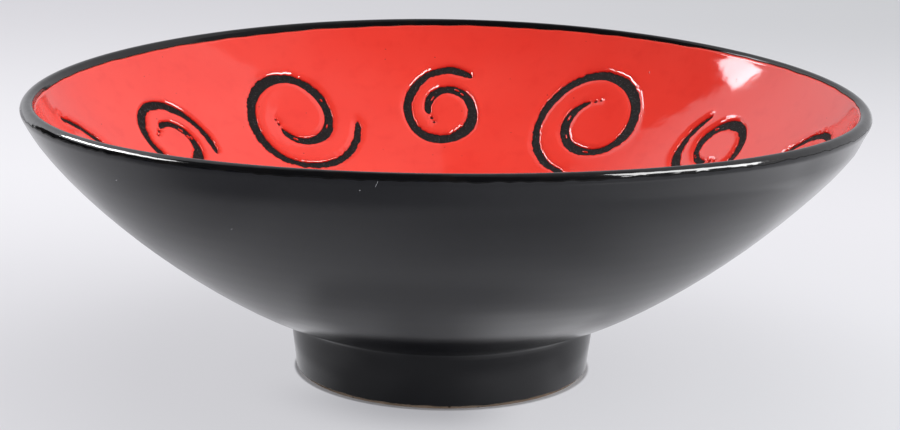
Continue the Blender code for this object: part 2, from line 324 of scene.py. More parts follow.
turn = turns_round(CLAY_COLUMNS)
up_outside = np.linspace((SEAT_HEIGHT + SEAT_STEP) / foot_side[1], LIP, 70)
over_lip = np.linspace(LIP, INSIDE + BAND_UNDER_LIP, 16)[1:]
down_inside = np.linspace(INSIDE + BAND_UNDER_LIP, MIDDLE, 60)
outer_face = on_bowl(turn, np.concatenate([up_outside, over_lip])[:, None], UNDER_OUTER_GLAZE)
outer_face[0, :, 2] = SEAT_HEIGHT
seat = np.zeros((1, CLAY_COLUMNS, 3)) + (0.0, 0.0, SEAT_HEIGHT)
clay_points = np.vstack([outer_face, on_bowl(turn, down_inside[:, None], UNDER_LINING), seat])
clay_wall = add_piece("stoneware_wall", clay_points, ring_faces(len(clay_points), CLAY_COLUMNS, True),
                      clay_finish("fired_buff_stoneware", 0.95))
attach(clay_wall, "root")
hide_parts("stoneware_body")

# Foot ring.
# A clay ring luted under the floor. Its base was wiped clean of glaze, so it is bare, flat and
# slightly chamfered, and a thin line of buff clay shows round it above the table.
FOOT_RING_WALL = 0.0053
FOOT_RING_TOP = 0.010255
BASE_CHAMFER = 0.0006
RING_UNEVENNESS = 0.00003
RING_ROW_HEIGHTS = (0.004, 0.0075, FOOT_RING_TOP)


def on_foot_side(height):
    """Radius of the clay foot's outer face at a height."""
    return FOOT_BASE_RADIUS + height * foot_side[0] / foot_side[1] - UNDER_OUTER_GLAZE / foot_side[1]


inner_radius = FOOT_BASE_RADIUS - UNDER_OUTER_GLAZE - FOOT_RING_WALL
corner = np.linspace(0.0, quarter, 5)
round_in, round_out = BASE_CHAMFER * (1.0 - np.cos(corner)), BASE_CHAMFER * (1.0 - np.sin(corner))
side_rows = np.array(RING_ROW_HEIGHTS)
ring_radius = np.concatenate([
    on_foot_side(0.0) - round_in[::-1],
    on_foot_side(side_rows),
    np.full(len(side_rows), inner_radius),
    inner_radius + round_in,
])
ring_height = np.concatenate([round_out[::-1], side_rows, side_rows[::-1], round_out])
turn = turns_round(CLAY_COLUMNS)
uneven_radius = ring_radius[:, None] + waves(turn, 3, (7, 16, 31), RING_UNEVENNESS)
ring_points = np.stack(np.broadcast_arrays(
    uneven_radius * np.cos(turn), uneven_radius * np.sin(turn), ring_height[:, None]), axis=-1)
foot_ring = add_piece("bare_foot_ring", ring_points, ring_faces(len(ring_radius), CLAY_COLUMNS, True),
                      clay_finish("bare_foot_clay", 0.92))
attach(foot_ring, "root")
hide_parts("foot_ring")

# Glaze under the foot.
# A thin black glaze poured into the hollow inside the foot ring and wiped back from its edge. It
# covers the ceiling and the ring's inner side down to a wavy line of bare clay.
WELL_COAT = 0.0004
WELL_FILLET = 0.0024
WELL_EDGE = 0.0022
WELL_RADIUS = 0.0424
WELL_EDGE_WAVE = 0.00022
WELL_CEILING = 0.009855
WELL_COLUMNS = 216
WELL_RIPPLE = 0.00012
THIN_BLACK = (0.018, 0.018, 0.021)
THIN_BROWN = (0.045, 0.030, 0.022)


def well_finish():
    """Thin black glaze, browner where it runs thin, satin and faintly rippled."""
    material, place = new_recipe("thin_well_black")
    height = place.along(2)
    thin = height.rise(0.0042, 0.0021) * 0.7 + place.grain(55.0).rise(0.5, 0.75) * 0.35
    ripple = place.grain(240.0) + 0.25 * place.grain(1500.0)
    return fired(material, {
        "Base Color": mixed(thin, THIN_BLACK, THIN_BROWN),
        "Roughness": 0.30 + 0.14 * place.grain(180.0),
        "Normal": ripple.bump(WELL_RIPPLE),
    })


turn = turns_round(WELL_COLUMNS)
edge = WELL_EDGE + waves(turn, 11, (3, 8, 17, 29), WELL_EDGE_WAVE)
bend = np.linspace(0.0, quarter, 8)[:, None]
fillet_foot = WELL_CEILING - WELL_FILLET
flat = np.linspace(WELL_RADIUS - WELL_FILLET, 0.0, 16)[1:, None]
up_side = np.array([0.0, 0.35, 0.7])[:, None]
face_radius = np.concatenate([
    np.full_like(up_side, WELL_RADIUS),
    WELL_RADIUS - WELL_FILLET * (1 - np.cos(bend)),
    flat,
])
face_rows = len(face_radius)
face_height = np.vstack([
    edge + up_side * (fillet_foot - edge),
    np.broadcast_to(fillet_foot + WELL_FILLET * np.sin(bend), (len(bend), WELL_COLUMNS)),
    np.full((len(flat), WELL_COLUMNS), WELL_CEILING),
])
back_radius = np.where(face_height < WELL_CEILING - MERGE, face_radius + WELL_COAT, face_radius)
on_ceiling = face_radius < WELL_RADIUS - WELL_FILLET + MERGE
back_height = np.where(on_ceiling, face_height + WELL_COAT, face_height)
well_radius = np.vstack([np.broadcast_to(face_radius, (face_rows, WELL_COLUMNS)), back_radius[::-1]])
well_height = np.vstack([face_height, back_height[::-1]])
well_points = np.stack([well_radius * np.cos(turn), well_radius * np.sin(turn), well_height], axis=-1)
well_coat = add_piece("well_coat", well_points, ring_faces(len(well_points), WELL_COLUMNS, True),
                      well_finish())
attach(well_coat, "root")
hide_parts("foot_well_glaze")

# Black ground inside.
# A matt black coat brushed over the whole inside under the red. It stays dry and sandy, and it is
# seen at the bottom of the brushed coils.
GROUND_DEPTH = 0.0011
GROUND_COAT = 0.0004
BAND_END = INSIDE + BAND_UNDER_LIP
GROUND_START = BAND_END + 0.0009
GROUND_COLUMNS = 288
GRIT_HEIGHT = 0.00035
SOOT = (0.0050, 0.0050, 0.0055)
GREY_GRIT = (0.16, 0.16, 0.165)


def ground_finish():
    """Matt sandy black: fine grit in relief, and here and there a paler grain."""
    material, place = new_recipe("matt_black_ground")
    grit = place.grain(2200.0, 3.0)
    pale = grit.rise(0.62, 0.74) * 0.4 + place.specks(1400.0, 0.30, 0.16) * 0.6
    return fired(material, {
        "Base Color": mixed(pale, SOOT, GREY_GRIT),
        "Roughness": 0.80 - 0.40 * place.grain(900.0).rise(0.5, 0.75),
        "IOR": 1.30,
        "Normal": (grit + 0.6 * place.grain(900.0)).bump(GRIT_HEIGHT),
    })


turn = turns_round(GROUND_COLUMNS)
down = np.linspace(GROUND_START, MIDDLE, 74)[:, None]
ground_points = np.vstack([
    on_bowl(turn, down, GROUND_DEPTH),
    on_bowl(turn, down[::-3], GROUND_DEPTH + GROUND_COAT),
])
ground_coat = add_piece("black_ground_coat", ground_points,
                        ring_faces(len(ground_points), GROUND_COLUMNS, True), ground_finish())
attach(ground_coat, "root")
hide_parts("black_ground_glaze")

# Satin black coat outside.
# Poured black glaze that fired satin, from just above the bare foot up to the lip. It is a little
# thicker at its lower edge, and keeps faint rings from the throwing and a few scratches of use.
SATIN_COAT = 0.0005
SATIN_START = 0.0011
SATIN_START_WAVE = 0.00012
SATIN_ROUNDING = 0.0004
SATIN_COLUMNS = 720
SATIN_ROWS = ((0.0, 0.004, 5), (0.006, 0.118, 8), (0.126, 0.154, 8), (0.17, 0.985, 40), (0.988, 1.0, 5))
THICK_EDGE = 0.00009
THICK_EDGE_REACH = 0.0009
THROWING_RING = 0.000022
THROWING_RING_SPACING = 0.0071
THROWING_SWAY = 0.00004
SATIN_TOOTH = 0.000012
BAND_START = LIP + 0.0015
BAND_WAVE = 0.00022
BAND_GAP = 0.00003
SATIN_BLACK = (0.0045, 0.0049, 0.0072)
SATIN_WORN = (0.0080, 0.0084, 0.0110)
SCRATCH = (0.50, 0.50, 0.52)
SCRATCHES = (
    ((-0.0188, 0.0937), (-0.0181, 0.0953), 0.00007),
    ((-0.0232, 0.0922), (-0.0230, 0.0924), 0.00011),
    ((-0.0962, 0.0845), (-0.0957, 0.0848), 0.00009),
    ((-0.0610, 0.0742), (-0.0606, 0.0745), 0.00007),
)


def satin_finish():
    """Satin black: a soft mottle, a fine tooth, and thin short scratches on the side in view."""
    material, place = new_recipe("satin_black_glaze")
    mottle = place.grain(26.0).rise(0.35, 0.75) * 0.6 + place.grain(240.0).rise(0.4, 0.8) * 0.4
    colour = mixed(mottle, SATIN_BLACK, SATIN_WORN)
    front = place.along(1).rise(-0.02, -0.03)
    for (x0, z0), (x1, z1), width in SCRATCHES:
        length = math.hypot(x1 - x0, z1 - z0)
        head_x, head_z = (x1 - x0) / length, (z1 - z0) / length
        from_x, from_z = place.along(0) - x0, place.along(2) - z0
        beyond = from_x * head_x + from_z * head_z - length / 2
        beyond = place.math("MAXIMUM", place.math("ABSOLUTE", beyond) - length / 2, 0.0)
        aside = from_z * head_x - from_x * head_z
        near = (beyond * beyond + aside * aside).rise(width**2, 0.2 * width**2)
        colour = mixed(near * front, colour, SCRATCH)
    return fired(material, {
        "Base Color": colour,
        "Roughness": 0.13 + 0.07 * place.grain(90.0),
        "IOR": 1.42,
        "Normal": (place.grain(1900.0, 3.0) + 0.5 * place.grain(420.0)).bump(SATIN_TOOTH),
    })


def band_start(turn):
    """Distance along the bowl's line at which the gloss lip band begins, a wavy line outside."""
    return BAND_START + waves(turn, 21, (5, 13, 29, 47, 83, 127, 173), BAND_WAVE)


turn = turns_round(SATIN_COLUMNS)
first = SATIN_START + waves(turn, 23, (4, 9, 22, 41), SATIN_START_WAVE)
last = band_start(turn) - BAND_GAP
share = np.concatenate([np.linspace(*run) for run in SATIN_ROWS])[:, None]
along = first + share * (last - first)
from_edge = along - first
thick_edge = THICK_EDGE * np.exp(-((from_edge - THICK_EDGE_REACH) / THICK_EDGE_REACH) ** 2)
rounding = SATIN_COAT * (1.0 - np.sqrt(1.0 - (1.0 - np.clip(from_edge / SATIN_ROUNDING, 0.0, 1.0)) ** 2))
ring_place = 2 * math.pi * along / THROWING_RING_SPACING + 0.6 * np.sin(turn + 1.0)
rings = THROWING_RING * np.sin(ring_place) * np.clip((along - WALL) / 0.02, 0, 1)
sway = waves(turn + 9.0 * along, 25, (3, 5, 8), THROWING_SWAY) * np.clip((along - WALL) / 0.03, 0, 1)
fade = np.clip((last - along) / 0.006, 0, 1)
satin_depth = rounding - thick_edge + (rings + sway) * fade
satin_points = np.vstack([on_bowl(turn, along, satin_depth), on_bowl(turn, along[::-4], SATIN_COAT)])
satin_coat = add_piece("satin_outer_coat", satin_points,
                       ring_faces(len(satin_points), SATIN_COLUMNS, True), satin_finish())
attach(satin_coat, "root")
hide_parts("satin_outer_glaze")

# Red lining with its brushed coils.
# Thick gloss red glaze poured over the black ground. Wax-brushed coils kept it off, so each stroke
# is an open groove with torn edges, and the glaze drew back beside it into a rounded bead.
COIL_WIDTH = 0.047
COIL_HEIGHT = 0.052
SMALL_COIL_SHARE = 0.72
COIL_EYE_SHARE = 0.36
COIL_TURNS = 1.4
COIL_COUNT = 12
COIL_TURN_BETWEEN = math.radians(137.5)
COIL_ROW = BAND_END + 0.036
ROW_END = BAND_END + 0.069
BRUSH_WIDTH = 0.0038
BRUSH_TIP_SHARE = 0.40
BRUSH_PRESSES = ((0.10, 2.3), (0.07, 6.1))
RED_FOOT = 0.00109
RED_FACE = 0.00009
RED_START_MEAN = 0.0009
RED_START_RIGHT = 0.0008
RED_START_SIDES = 0.0005
RED_START_WAVE = 0.00013
TORN_DEPTH = 0.00024
TORN_WAVES = ((0.0050, 0.6), (0.0019, 0.8), (0.0009, 0.9))
DROPS = ((0.0019, 0.0007, 0.0005), (0.0041, 0.0005, 0.0004))
ISLAND_WIDTH = 0.00032
OVAL_SPACING = 0.0003
EDGE_SPACING = 0.00036
BANK_WIDTH = 0.0028
SMALL_BANK_SHARE = 0.70
BANK_FOOT = 0.34
BANK_EDGE = 0.00016
BANK_MARK_REACH = 0.0004
TOP_BANK = 0.0009
FLOW_RIPPLE = 0.000022
RED_RING = 0.000012
RED_RING_SPACING = 0.0083
OFFSETS = np.array([0.00003, 0.0001, 0.00022, 0.0004, 0.00065, 0.001, 0.0015, 0.0022, 0.0031])
OFFSET_SKIPS = (1, 1, 1, 1, 1, 2, 2, 3, 4)
TOP_POINTS = 61
ROW_STEPS = 22
GRID_STEP = 0.0020
GRID_CLEARANCE = 0.0037
EDGE_CLEARANCE = 0.0009
SPOKE_CLEARANCE = 0.0011
SEAM_FADE = 0.002
MILLIMETRES = 1000.0
RED = (0.80, 0.047, 0.030)
DEEP_RED = (0.68, 0.027, 0.017)
PALE_RED = (0.84, 0.062, 0.041)


def red_finish():
    """Gloss red: slow drifts of tone, deeper where it lies thin on the bank, tiny pits and bubbles."""
    material, place = new_recipe("gloss_red_glaze")
    bank = place.node("ShaderNodeAttribute", {"attribute_name": "bank"}, {}, "Fac")
    drift = mixed(place.grain(22.0).rise(0.3, 0.75), RED, PALE_RED)
    drift = mixed(place.grain(160.0).rise(0.5, 0.8) * 0.25, drift, DEEP_RED)
    pits = place.specks(210.0, 0.07, 0.4)
    colour = mixed(bank * 0.75, drift, DEEP_RED)
    colour = mixed(pits * 0.6, colour, SOOT)
    face = 0.9 * place.grain(95.0) + 0.16 * place.grain(420.0) - 0.5 * pits
    return fired(material, {
        "Base Color": colour,
        "Roughness": 0.05 + 0.05 * place.grain(60.0),
        "IOR": 1.52,
        "Normal": face.bump(RED_FACE),
    })


def red_start(turn):
    """Distance along the bowl's line at which the red begins: higher on the right and at both sides."""
    level = BAND_END - RED_START_MEAN - RED_START_RIGHT * np.cos(turn) - RED_START_SIDES * np.cos(turn) ** 4
    return level + waves(turn, 31, (7, 15, 26, 43, 71), RED_START_WAVE)


def evenly(loop, spacing):
    """The same closed loop with its points an even distance apart."""
    closed = np.vstack([loop, loop[:1]])
    run = np.concatenate([[0.0], np.cumsum(np.linalg.norm(np.diff(closed, axis=0), axis=1))])
    count = max(8, round(run[-1] / spacing))
    at = np.arange(count) / count * run[-1]
    return np.stack([np.interp(at, run, axis) for axis in closed.T], axis=-1), run[-1]


def sides_of(loop):
    """Outward normals of a closed counter-clockwise loop at its points."""
    ahead = np.roll(loop, -1, axis=0) - np.roll(loop, 1, axis=0)
    ahead /= np.linalg.norm(ahead, axis=1, keepdims=True)
    return -left_of(ahead)


def torn(loop, spacing, depth, dice):
    """Loop with a torn edge: broken lines through dice throws push it in and out, more on one side."""
    loop, length = evenly(loop, spacing)
    share = np.arange(len(loop)) / len(loop)
    push = np.zeros(len(loop))
    for wave, height in TORN_WAVES:
        knots = dice.uniform(-1.0, 1.0, max(4, round(length / wave)))
        knots[-1] = knots[0]
        push += depth * height * np.interp(share, np.linspace(0.0, 1.0, len(knots)), knots)
    rough = 0.75 + 0.45 * np.cos(2 * math.pi * share - 1.2)
    return loop + sides_of(loop) * (push * rough)[:, None]


def ellipse(centre, long_way, length, width, spacing, dice):
    """Small torn oval about a centre, its long way along a direction."""
    angle = np.linspace(0.0, 2 * math.pi, 40, endpoint=False)[:, None]
    oval = centre + length * np.cos(angle) * long_way + width * np.sin(angle) * left_of(long_way)
    return torn(oval, spacing, 0.10 * width, dice)


def coil_edges(number):
    """Closed loops, in metres across and up the wall, that bound one coil's open groove.

    The brush winds in along an elliptical spiral, fullest halfway. Its outline is the line of its
    middle moved half its width to each side, rounded at both ends and torn. Drops past the tail
    are open too, and islands of red stay where the brush ran dry.
    """
    dice = np.random.default_rng(400 + number)
    size, hand = ((1.0, 1.0), (SMALL_COIL_SHARE, -1.0))[number % 2]
    share = np.linspace(0.0, 1.0, 700)
    angle = 2.0 * math.pi * COIL_TURNS * share + number * COIL_TURN_BETWEEN
    reach = size * (1.0 - (1.0 - COIL_EYE_SHARE) * share) / 2
    across, up = hand * COIL_WIDTH * reach, COIL_HEIGHT * reach
    middle = np.stack([across * np.cos(angle), up * np.sin(angle)], axis=-1)
    heading = np.gradient(middle, axis=0)
    heading /= np.linalg.norm(heading, axis=1, keepdims=True)
    fullness = BRUSH_TIP_SHARE + (1.0 - BRUSH_TIP_SHARE) * np.sqrt(np.sin(math.pi * share))
    press = 1.0
    for swing, beats in BRUSH_PRESSES:
        press = press + swing * np.sin(2 * math.pi * beats * share + dice.uniform(0, 6.3))
    taper = np.sqrt(np.clip(share / 0.012, 0.05, 1.0)) * np.sqrt(np.clip((1.0 - share) / 0.03, 0.02, 1.0))
    half = (BRUSH_WIDTH / 2 * fullness * press * taper)[:, None]
    left, right = middle + left_of(heading) * half, middle - left_of(heading) * half
    outline = np.vstack([right, left[::-1]])
    onward = np.roll(outline, -1, axis=0)
    area = np.sum(outline[:, 0] * onward[:, 1] - outline[:, 1] * onward[:, 0])
    loops = [torn(outline if area > 0 else outline[::-1], EDGE_SPACING, TORN_DEPTH, dice)]
    for past, length, width in DROPS:
        loops.append(ellipse(middle[-1] + heading[-1] * past, heading[-1], length, width, OVAL_SPACING, dice))
    for at in dice.uniform(0.62, 0.93, 3):
        place = int(at * (len(share) - 1))
        aside = left_of(heading[place]) * half[place] * dice.uniform(-0.35, 0.35)
        length = dice.uniform(0.0007, 0.0013)
        loops.append(ellipse(middle[place] + aside, heading[place], length, ISLAND_WIDTH, OVAL_SPACING, dice))
    return loops


def gap_to(loops, points):
    """Distance of every point from the nearest side of the loops."""
    start = np.vstack(loops)
    side = np.vstack([np.roll(loop, -1, axis=0) - loop for loop in loops])
    nearest = []
    for block in np.array_split(points, max(1, len(points) // 1500)):
        away = block[:, None] - start[None]
        share = np.clip((away * side).sum(-1) / (side**2).sum(-1), 0.0, 1.0)
        nearest.append(((away - share[..., None] * side) ** 2).sum(-1).min(1) ** 0.5)
    return np.concatenate(nearest)


def in_groove(loops, points):
    """Whether each point is inside an odd number of loops: a line to its right crosses their sides."""
    start = np.vstack(loops)
    end = np.vstack([np.roll(loop, -1, axis=0) for loop in loops])
    crossed = np.zeros(len(points), int)
    for a, b in zip(np.array_split(start, 12), np.array_split(end, 12)):
        spans = (a[:, 1] > points[:, None, 1]) != (b[:, 1] > points[:, None, 1])
        slope = (b[:, 0] - a[:, 0]) / np.where(b[:, 1] == a[:, 1], 1.0, b[:, 1] - a[:, 1])
        crossed += (spans & (points[:, None, 0] < a[:, 0] + (points[:, None, 1] - a[:, 1]) * slope)).sum(1)
    return crossed % 2 == 1


def bank_rise(gap, width):
    """Glaze height over its foot, 1 for the sheet: a steep edge, then a parabola level at the width."""
    level = 1.0 - np.clip(gap / width, 0.0, 1.0)
    edge = 1.0 - np.clip(gap / BANK_EDGE, 0.0, 1.0)
    return (1.0 - (1.0 - BANK_FOOT) * level**2) * np.sqrt(1.0 - edge**2)


def red_sheet(turn, distance, rise):
    """Places of the red's face: its depth under the bowl's line by its rise, with slow flow ripples."""
    calm = np.clip(radius_at(distance) / 0.03, 0.0, 1.0) * np.clip(rise, 0.0, 1.0)
    ripple = waves(turn + 14.0 * distance, 33, (4, 7, 11, 17), FLOW_RIPPLE)
    ripple = ripple + RED_RING * np.sin(2 * math.pi * distance / RED_RING_SPACING + 1.3 * np.sin(turn))
    return on_bowl(turn, distance, RED_FOOT * (1.0 - rise) - ripple * calm)


def flat_place(turn, distance):
    """Place on the unrolled wall: metres across by the turn times the radius, and up from the coils' row."""
    return np.stack([turn * radius_at(distance), COIL_ROW - distance], axis=-1)


def spoke_levels(turn):
    """Distances along a spoke at which its points stand: close below the red's start, then evenly."""
    below = np.arange(BAND_END + 0.0045, ROW_END - 0.001, 0.0025)
    return np.concatenate([red_start(turn) + OFFSETS, below])


def sides_between(chains):
    """Pairs of point numbers along closed chains that stand one after another in one list."""
    starts = np.cumsum([0] + [len(chain) for chain in chains])
    return np.vstack([np.stack([np.arange(len(chain)), np.roll(np.arange(len(chain)), -1)], axis=-1) + start
                      for chain, start in zip(chains, starts)])


def wall_patch(number):
    """Face and back of the red between two spokes, round one coil: points, triangles and bank marks.

    Points stand on the torn loops, in rings beside them, along the top edge and on an even grid.
    Constrained triangles join them, and those inside the groove are left out.
    """
    spoke = math.pi / COIL_COUNT
    centre = 2.0 * spoke * number
    loops = coil_edges(number)

    turns = np.linspace(-spoke, spoke, TOP_POINTS)
    top = red_start(centre + turns)
    upper = flat_place(turns, top)
    shelf = np.vstack([flat_place(turns[1:-1], top[1:-1] + step) for step in OFFSETS])
    first_side, last_side = spoke_levels(centre - spoke), spoke_levels(centre + spoke)
    lower = flat_place(np.linspace(-spoke, spoke, ROW_STEPS + 1), np.full(ROW_STEPS + 1, ROW_END))
    rim = np.vstack([upper[::-1], flat_place(np.full(len(first_side), -spoke), first_side), lower,
                     flat_place(np.full(len(last_side), spoke), last_side)[::-1]])

    beside = []
    for step, skip in zip(OFFSETS, OFFSET_SKIPS):
        for loop in loops:
            normal = sides_of(loop)[::skip]
            ring = np.vstack([loop[::skip] + normal * step, loop[::skip] - normal * step])
            gap = gap_to(loops, ring)
            beside.append(ring[(gap > 0.88 * step) & ~in_groove(loops, ring)])
    across, up = np.meshgrid(np.arange(-0.040, 0.040, GRID_STEP), np.arange(-0.034, 0.040, GRID_STEP))
    across = across + GRID_STEP / 2 * (np.arange(len(across))[:, None] % 2)
    grid = np.stack([across.ravel(), up.ravel()], axis=-1)
    grid = grid[gap_to(loops, grid) > GRID_CLEARANCE]
    grid = grid[~in_groove(loops, grid)]
    inner = np.vstack(beside + [grid])
    inner_distance = COIL_ROW - inner[:, 1]
    inner_turn = inner[:, 0] / radius_at(inner_distance)
    clear = np.abs(inner_turn) < spoke - SPOKE_CLEARANCE / radius_at(inner_distance)
    clear &= inner_distance < ROW_END - EDGE_CLEARANCE
    clear &= inner_distance > red_start(centre + inner_turn) + OFFSETS[-1] + EDGE_CLEARANCE

    made = []
    coarse = grid[::7]
    coarse = coarse[(np.abs(coarse[:, 0]) < 0.019) & (np.abs(coarse[:, 1]) < 0.028)]
    chains = [rim] + loops
    edges = sides_between(chains).tolist()
    for filling in (np.vstack([inner[clear], shelf]), coarse):
        flat_points = np.vstack(chains + [filling]) * MILLIMETRES
        out = delaunay_2d_cdt([Vector(p) for p in flat_points.tolist()], edges, [], 0, 1e-6, False)
        places = np.array([tuple(v) for v in out[0]]) / MILLIMETRES
        faces = np.array(out[2])
        middles = places[faces].mean(1)
        inside_rim = in_groove([rim], middles)
        faces = faces[inside_rim & ~in_groove(loops, middles)]
        made.append((places, faces))

    (face_flat, face_tris), (back_flat, back_tris) = made
    distance = COIL_ROW - face_flat[:, 1]
    turn = face_flat[:, 0] / radius_at(distance)
    gap = gap_to(loops, face_flat)
    width = BANK_WIDTH * (1.0, SMALL_BANK_SHARE)[number % 2]
    width = width * (1.0 + 0.22 * np.sin(260.0 * face_flat[:, 0] + number) * np.sin(210.0 * face_flat[:, 1]))
    near_spoke = np.clip((spoke - np.abs(turn)) * radius_at(distance) / SEAM_FADE, 0.0, 1.0)
    near_end = np.clip((ROW_END - distance) / SEAM_FADE, 0.0, 1.0)
    rise = 1.0 + (bank_rise(gap, width) - 1.0) * np.where(gap > GRID_CLEARANCE, near_spoke * near_end, 1.0)
    from_top = np.maximum(distance - red_start(centre + turn), 0.0)
    rise = rise * (1.0 + (bank_rise(from_top, TOP_BANK) - 1.0) * np.where(from_top > TOP_BANK, 0.5, 1.0))
    rise = np.where(gap < 1e-6, 0.0, rise)
    back_distance = COIL_ROW - back_flat[:, 1]
    back_turn = back_flat[:, 0] / radius_at(back_distance)
    face_points = red_sheet(centre + turn, distance, rise)
    points = np.vstack([face_points, on_bowl(centre + back_turn, back_distance, RED_FOOT)])
    marks = np.concatenate([np.exp(-gap / BANK_MARK_REACH), np.ones(len(back_flat))])
    return points, np.vstack([face_tris, back_tris + len(face_flat)]), marks


patches = [wall_patch(number) for number in range(COIL_COUNT)]
offset = np.cumsum([0] + [len(points) for points, tris, marks in patches])
turn = turns_round(COIL_COUNT * ROW_STEPS) - math.pi / COIL_COUNT
down = np.concatenate([[0.0, 0.0008, 0.0018], np.linspace(0.0035, MIDDLE - ROW_END, 38)])[:, None] + ROW_END
under = np.linspace(ROW_END, MIDDLE, 9)[:, None]
low_face = red_sheet(turn, down, np.ones_like(down))
low_back = on_bowl(turn, under, RED_FOOT)
low_points = [low_face.reshape(-1, 3), low_back.reshape(-1, 3)]
red_points = np.vstack([points for points, tris, marks in patches] + low_points)
red_faces = np.vstack([tris + start for (points, tris, marks), start in zip(patches, offset)]).tolist()
red_faces += (ring_faces(len(down), turn.size, False) + offset[-1]).tolist()
red_faces += (ring_faces(len(under), turn.size, False) + offset[-1] + len(low_points[0])).tolist()
low_marks = np.zeros(len(low_points[0]) + len(low_points[1]))
bank_marks = np.concatenate([marks for points, tris, marks in patches] + [low_marks])
red_lining = add_piece("red_lining", red_points, red_faces, red_finish(), math.radians(62),
                       {"bank": bank_marks})
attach(red_lining, "root")
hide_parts("red_liner_glaze")

# Gloss lip band.
# The lip was dipped once more in gloss black. The band rounds the lip, ends outside in a thick
# wavy roll over the satin, and thins inside to where the red begins.
LIP_COAT = 0.0005
LIP_COLUMNS = 720
LIP_ROWS = ((0.0, 0.10, 12), (0.125, 0.92, 28), (0.94, 1.0, 5))
ROLL = 0.00004
ROLL_AT = 0.00030
ROLL_SPREAD = 0.00022
BAND_ROUNDING = 0.00040
BAND_ROUNDING_REACH = 0.00020
THINNING = 0.00010
THINNING_REACH = 0.0025
LEAST_BAND = 0.0003
LIP_FACE = 0.00006
EDGE_MARK_REACH = 0.0004
GLOSS_BLACK = (0.0030, 0.0030, 0.0036)
GLOSS_BROWN = (0.0065, 0.0052, 0.0046)


def lip_finish():
    """Wet gloss black with faint slow ripples, a broken outer edge and a few bubbles burst to pinholes."""
    material, place = new_recipe("gloss_black_glaze")
    pits = place.specks(260.0, 0.06, 0.3)
    edge = place.node("ShaderNodeAttribute", {"attribute_name": "edge"}, {}, "Fac")
    broken = edge * place.grain(420.0) * 1.1
    ripples = place.grain(150.0) + 0.12 * place.grain(700.0) - 0.4 * pits
    return fired(material, {
        "Base Color": mixed(place.grain(120.0).rise(0.45, 0.8), GLOSS_BLACK, GLOSS_BROWN),
        "Roughness": 0.06 + 0.05 * place.grain(70.0),
        "IOR": 1.38,
        "Normal": (ripples + broken).bump(LIP_FACE),
    })


turn = turns_round(LIP_COLUMNS)
outer, inner = band_start(turn), red_start(turn) + 0.00002
share = np.concatenate([np.linspace(*run) for run in LIP_ROWS])[:, None]
along = outer + share * (inner - outer)
from_outer, from_inner = along - outer, inner - along
roll = ROLL * np.exp(-(((from_outer - ROLL_AT) / ROLL_SPREAD) ** 2))
roll = roll * (0.8 + waves(turn, 41, (9, 33, 61, 113), 0.35))
edge_level = 1.0 - np.clip(from_outer / BAND_ROUNDING_REACH, 0.0, 1.0)
rounding = BAND_ROUNDING * (1.0 - np.sqrt(1.0 - edge_level**2))
thinning = THINNING * (1.0 - np.clip(from_inner / THINNING_REACH, 0.0, 1.0)) ** 2
band_depth = rounding - roll + thinning
band_points = np.vstack([
    on_bowl(turn, along, band_depth),
    on_bowl(turn, along[::-3], np.maximum(LIP_COAT, band_depth[::-3] + LEAST_BAND)),
])
edge_marks = np.zeros(band_points.shape[:2])
edge_marks[:len(along)] = np.exp(-from_outer / EDGE_MARK_REACH)
lip_band = add_piece("gloss_lip_band", band_points, ring_faces(len(band_points), LIP_COLUMNS, True),
                     lip_finish(), marks={"edge": edge_marks})
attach(lip_band, "root")
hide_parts("gloss_lip_glaze")

# Table and surroundings.
# A wide sheet of matt pale grey paper under the bowl. Seen straight, the backdrop is an even pale
# grey. For light and mirrors the room is grey behind, paler at both sides, and dark in front and
# overhead, so the glossy glazes mirror the edges of the pale parts.
TABLE_REACH = 14.0
TABLE_GREY = (0.72, 0.72, 0.745)
PAPER_GLOW = 0.72
FRONT_LEFT, FRONT_RIGHT = (0.75, 0.74, 0.78), (0.81, 0.82, 0.85)
MIDDLE_LEFT, MIDDLE_RIGHT = (0.97, 0.96, 1.00), (0.84, 0.83, 0.87)
BACK_LEFT, BACK_RIGHT = (0.70, 0.69, 0.73), (0.57, 0.58, 0.60)
# FOOT_SHADE is the colour of a painted shadow on the paper in front of the foot.
FOOT_SHADE = (0.53, 0.53, 0.56)
UNDER_FOOT = (0.0506, 0.0495)
UNDER_FOOT_SHADE = 0.8
# Colours of painted shade and painted light in what the glaze mirrors of the paper.
MIRRORED_DIM = (0.10, 0.10, 0.11)
MIRRORED_BRIGHT = (1.60, 1.60, 1.66)
BEHIND = (0.59, 0.59, 0.62)
DIM_SIDE = (0.45, 0.45, 0.47)
RIGHT_PANEL = (1.10, 1.10, 1.14)
LEFT_PANEL = (1.52, 1.52, 1.58)
DARK_ROOM = (0.08, 0.08, 0.085)
BACKDROP = (0.80, 0.80, 0.82)


